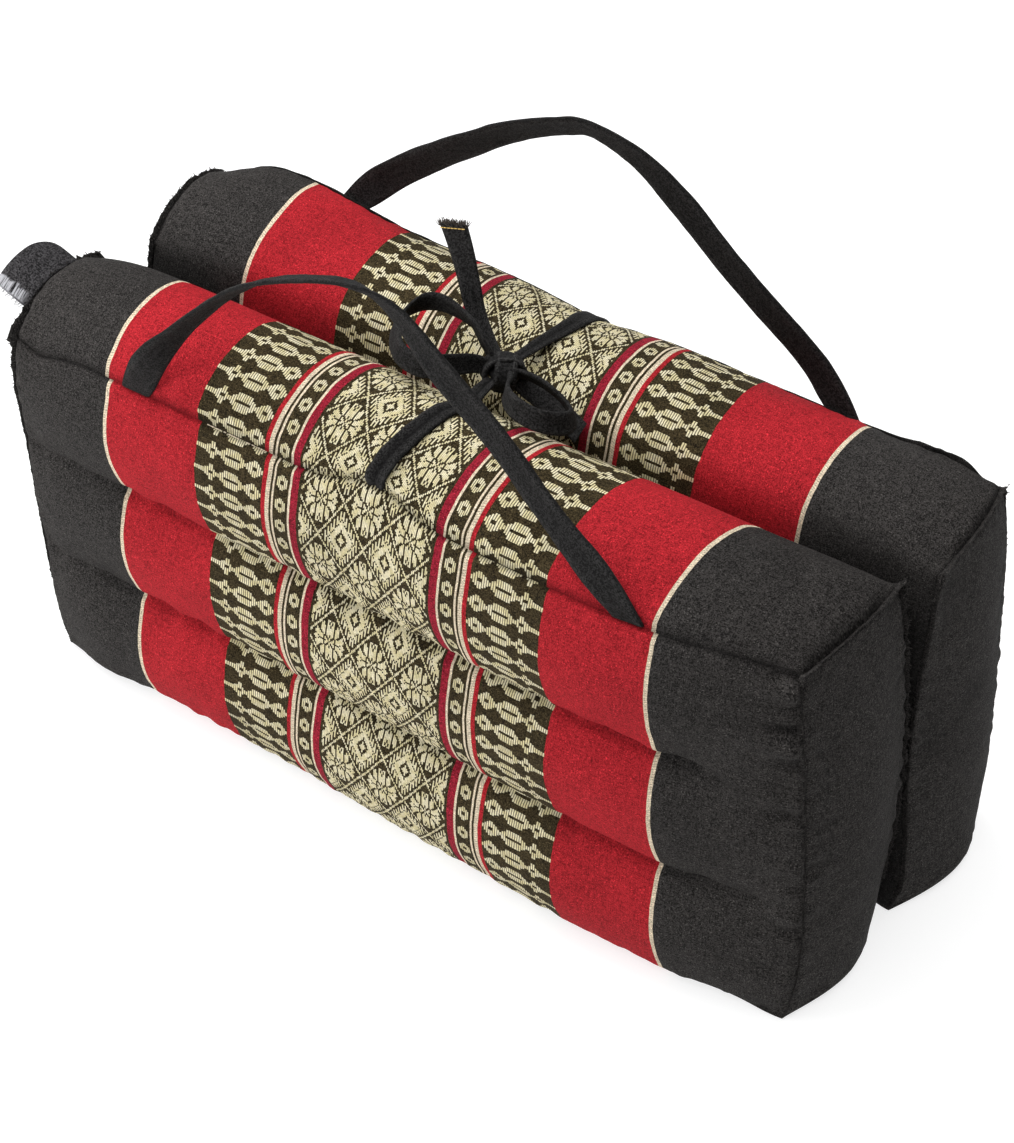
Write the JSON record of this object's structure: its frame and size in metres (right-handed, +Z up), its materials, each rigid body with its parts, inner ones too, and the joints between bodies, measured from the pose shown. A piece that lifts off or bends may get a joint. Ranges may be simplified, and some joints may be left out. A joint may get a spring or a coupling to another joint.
{
  "type": "folding meditation cushion",
  "caption": "Folding meditation cushion of filled, channel-sewn blocks folded side by side, with carry straps and a tape tied in a bow over the fold.",
  "frame": {"origin": "on the surface the cushion stands on, below the middle of its bounding box", "axes": "+X along the blocks, from the end with the tag to the plain end; +Y from the block with the tag to the other block; +Z up"},
  "size_m": [0.44, 0.1773, 0.2966],
  "materials": {
    "cloth_red": "woven cotton twill, red and black with cream woven bands, matt",
    "cloth_black": "black cotton tape and cloth, matt",
    "tag_black": "black woven tag, slightly smooth"
  },
  "bodies": {
    "root": {"block_near": "cloth_red", "block_far": "cloth_red", "fold_hinge": "cloth_black", "handle_near": "cloth_black", "handle_far": "cloth_black", "tie_near": "cloth_black", "tie_far": "cloth_black", "tie_bow": "cloth_black", "label": "tag_black"}
  },
  "joints": []
}
